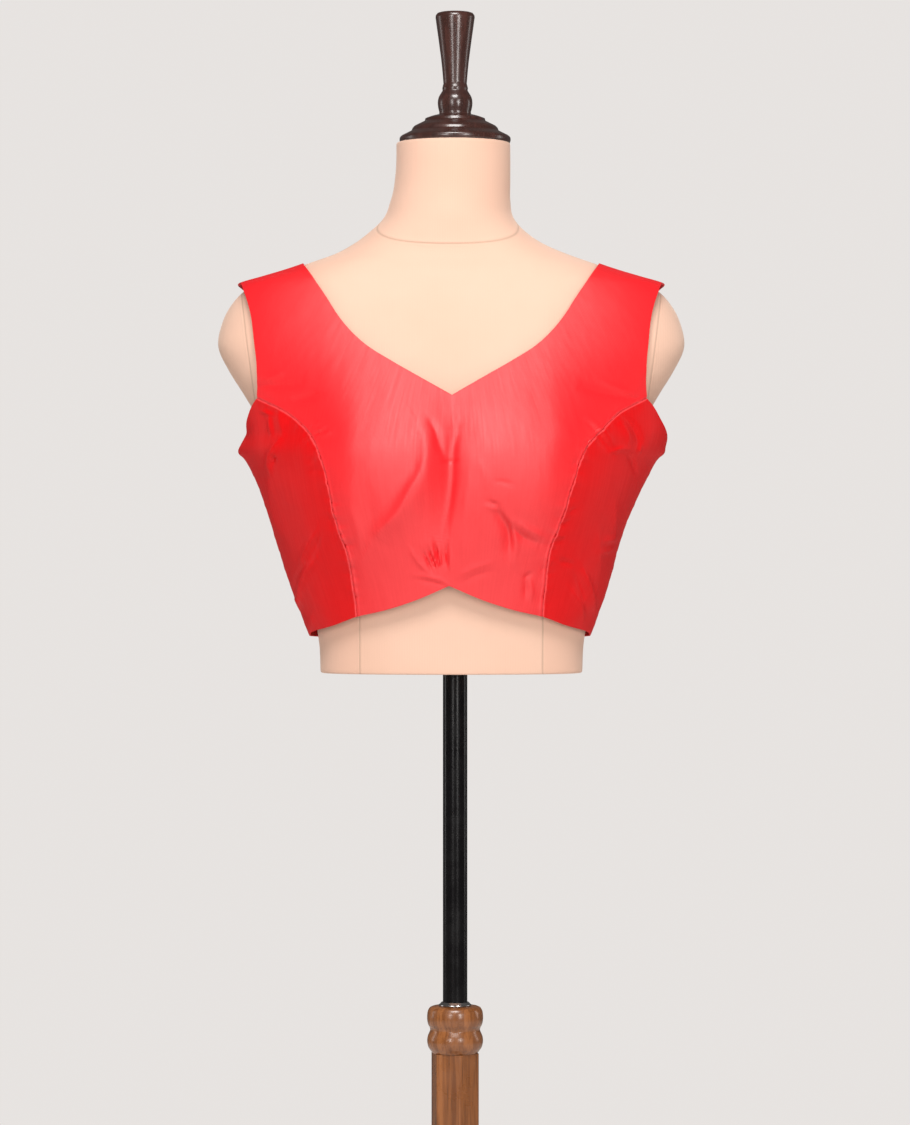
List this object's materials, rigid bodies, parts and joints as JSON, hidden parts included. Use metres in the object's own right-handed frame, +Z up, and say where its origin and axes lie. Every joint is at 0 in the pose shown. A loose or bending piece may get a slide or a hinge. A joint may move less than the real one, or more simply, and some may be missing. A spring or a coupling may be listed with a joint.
{
  "type": "sleeveless choli blouse on a limbless dress form with a stand",
  "caption": "Cropped sleeveless blouse with princess seams, a V neckline and a pointed notch in its front hem, worn by a limbless dress form on an adjustable wooden stand.",
  "frame": {"origin": "middle of the base's flat underside, on the pole's axis", "axes": "+Z up along the pole, the blouse's front faces -Y, +X to the right seen from the front"},
  "size_m": [0.4199, 0.35, 1.4983],
  "materials": {
    "blouse_cloth": "smooth red satin with a soft sheen",
    "form_cover": "matt beige stretch cover",
    "dark_wood": "glossy dark varnish",
    "varnished_wood": "glossy mid-brown varnish",
    "black_steel": "glossy black",
    "bright_steel": "polished"
  },
  "bodies": {
    "stand": {"base": "varnished_wood", "column": "varnished_wood", "column_collar": "varnished_wood", "pole_ferrule": "bright_steel", "clamp_screw": "black_steel"},
    "mast": {"pole": "black_steel"},
    "form": {"dress_form": "form_cover", "neck_knob": "dark_wood", "front": "blouse_cloth", "side_front_left": "blouse_cloth", "side_front_right": "blouse_cloth", "back_left": "blouse_cloth", "back_right": "blouse_cloth", "back_underlap": "blouse_cloth"}
  },
  "joints": [
    {"name": "mast_height", "type": "slide", "parent": "stand", "child": "mast", "axis": [0, 0, 1], "range_m": [-0.25, 0.15]},
    {"name": "form_turn", "type": "hinge", "parent": "mast", "child": "form", "pos_m": [0, 0, 0.93], "axis": [0, 0, 1], "continuous": true}
  ]
}
